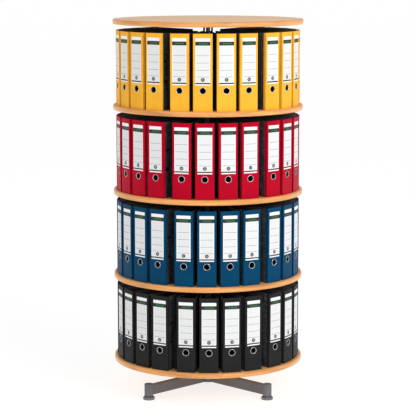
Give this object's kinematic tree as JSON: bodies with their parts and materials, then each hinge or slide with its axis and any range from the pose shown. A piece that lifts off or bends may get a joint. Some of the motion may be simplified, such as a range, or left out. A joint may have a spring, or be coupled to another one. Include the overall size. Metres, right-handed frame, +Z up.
{
  "type": "rotary file column",
  "caption": "Free-standing column of round turning shelves on a post and foot cross, filled with lever-arch files standing in a ring, with a fixed disc on top.",
  "frame": {"origin": "on the floor under the post's axis, at the centre of the footprint", "axes": "+Z up along the post; -Y is the front, the side that faces the viewer at rest"},
  "size_m": [0.82, 0.82, 1.613],
  "materials": {
    "grey_powder_coat": "satin powder coat",
    "grey_plastic": "satin moulded",
    "zinc_steel": "zinc plated",
    "bearing_steel": "ground",
    "beech_board": "satin beech decor",
    "beech_edging": "satin lacquered beech edging",
    "dark_cast_hub": "moulded, semi-gloss",
    "black_steel_sheet": "matt black coat",
    "marbled_black_board": "printed marbled board",
    "black_spine_paper": "smooth covering",
    "blue_spine_paper": "smooth covering",
    "red_spine_paper": "smooth covering",
    "yellow_spine_paper": "smooth covering",
    "label_paper": "matt printed paper",
    "nickel_steel": "nickel plated",
    "foot_rubber": "matt"
  },
  "bodies": {
    "stand": {"base_hub": "grey_powder_coat", "foot_arms": "grey_powder_coat", "foot_posts": "grey_powder_coat", "foot_post_plugs": "grey_plastic", "foot_lock_nuts": "zinc_steel", "post_tube": "grey_powder_coat", "lower_bearing_rings": "bearing_steel", "stop_collars": "zinc_steel", "cover_disc_board": "beech_board", "cover_disc_edging": "beech_edging", "cover_disc_flange": "dark_cast_hub", "cover_disc_fixings": "zinc_steel"},
    "black_tier": {"black_shelf_board": "beech_board", "black_shelf_edging": "beech_edging", "black_hub_flange": "dark_cast_hub", "black_shelf_screws": "zinc_steel", "black_ball_cage": "bearing_steel", "black_dividers": "black_steel_sheet", "black_file_covers": "marbled_black_board", "black_file_spines": "black_spine_paper", "black_file_labels": "label_paper", "black_file_hardware": "nickel_steel"},
    "black_file": {"black_drawn_file": "black_spine_paper"},
    "blue_tier": {"blue_shelf_board": "beech_board", "blue_shelf_edging": "beech_edging", "blue_hub_flange": "dark_cast_hub", "blue_shelf_screws": "zinc_steel", "blue_ball_cage": "bearing_steel", "blue_dividers": "black_steel_sheet", "blue_file_covers": "marbled_black_board", "blue_file_spines": "blue_spine_paper", "blue_file_labels": "label_paper", "blue_file_hardware": "nickel_steel"},
    "blue_file": {"blue_drawn_file": "blue_spine_paper"},
    "red_tier": {"red_shelf_board": "beech_board", "red_shelf_edging": "beech_edging", "red_hub_flange": "dark_cast_hub", "red_shelf_screws": "zinc_steel", "red_ball_cage": "bearing_steel", "red_dividers": "black_steel_sheet", "red_file_covers": "marbled_black_board", "red_file_spines": "red_spine_paper", "red_file_labels": "label_paper", "red_file_hardware": "nickel_steel"},
    "red_file": {"red_drawn_file": "red_spine_paper"},
    "yellow_tier": {"yellow_shelf_board": "beech_board", "yellow_shelf_edging": "beech_edging", "yellow_hub_flange": "dark_cast_hub", "yellow_shelf_screws": "zinc_steel", "yellow_ball_cage": "bearing_steel", "yellow_dividers": "black_steel_sheet", "yellow_file_covers": "marbled_black_board", "yellow_file_spines": "yellow_spine_paper", "yellow_file_labels": "label_paper", "yellow_file_hardware": "nickel_steel"},
    "yellow_file": {"yellow_drawn_file": "yellow_spine_paper"},
    "foot_front_right": {"levelling_foot_front_right": "foot_rubber"},
    "foot_rear_right": {"levelling_foot_rear_right": "foot_rubber"},
    "foot_rear_left": {"levelling_foot_rear_left": "foot_rubber"},
    "foot_front_left": {"levelling_foot_front_left": "foot_rubber"}
  },
  "joints": [
    {"name": "black_tier_spin", "type": "hinge", "parent": "stand", "child": "black_tier", "pos_m": [0, 0, 0.138], "axis": [0, 0, 1], "continuous": true},
    {"name": "black_file_draw", "type": "slide", "parent": "black_tier", "child": "black_file", "axis": [0.0105, -0.9999, 0], "range_m": [0, 0.3]},
    {"name": "blue_tier_spin", "type": "hinge", "parent": "stand", "child": "blue_tier", "pos_m": [0, 0, 0.504], "axis": [0, 0, 1], "continuous": true},
    {"name": "blue_file_draw", "type": "slide", "parent": "blue_tier", "child": "blue_file", "axis": [-0.0122, -0.9999, 0], "range_m": [0, 0.3]},
    {"name": "red_tier_spin", "type": "hinge", "parent": "stand", "child": "red_tier", "pos_m": [0, 0, 0.87], "axis": [0, 0, 1], "continuous": true},
    {"name": "red_file_draw", "type": "slide", "parent": "red_tier", "child": "red_file", "axis": [-0.0332, -0.9995, 0], "range_m": [0, 0.3]},
    {"name": "yellow_tier_spin", "type": "hinge", "parent": "stand", "child": "yellow_tier", "pos_m": [0, 0, 1.236], "axis": [0, 0, 1], "continuous": true},
    {"name": "yellow_file_draw", "type": "slide", "parent": "yellow_tier", "child": "yellow_file", "axis": [-0.0541, -0.9985, 0], "range_m": [0, 0.3]},
    {"name": "foot_front_right_level", "type": "slide", "parent": "stand", "child": "foot_front_right", "axis": [0, 0, -1], "range_m": [0, 0.006]},
    {"name": "foot_rear_right_level", "type": "slide", "parent": "stand", "child": "foot_rear_right", "axis": [0, 0, -1], "range_m": [0, 0.006]},
    {"name": "foot_rear_left_level", "type": "slide", "parent": "stand", "child": "foot_rear_left", "axis": [0, 0, -1], "range_m": [0, 0.006]},
    {"name": "foot_front_left_level", "type": "slide", "parent": "stand", "child": "foot_front_left", "axis": [0, 0, -1], "range_m": [0, 0.006]}
  ]
}
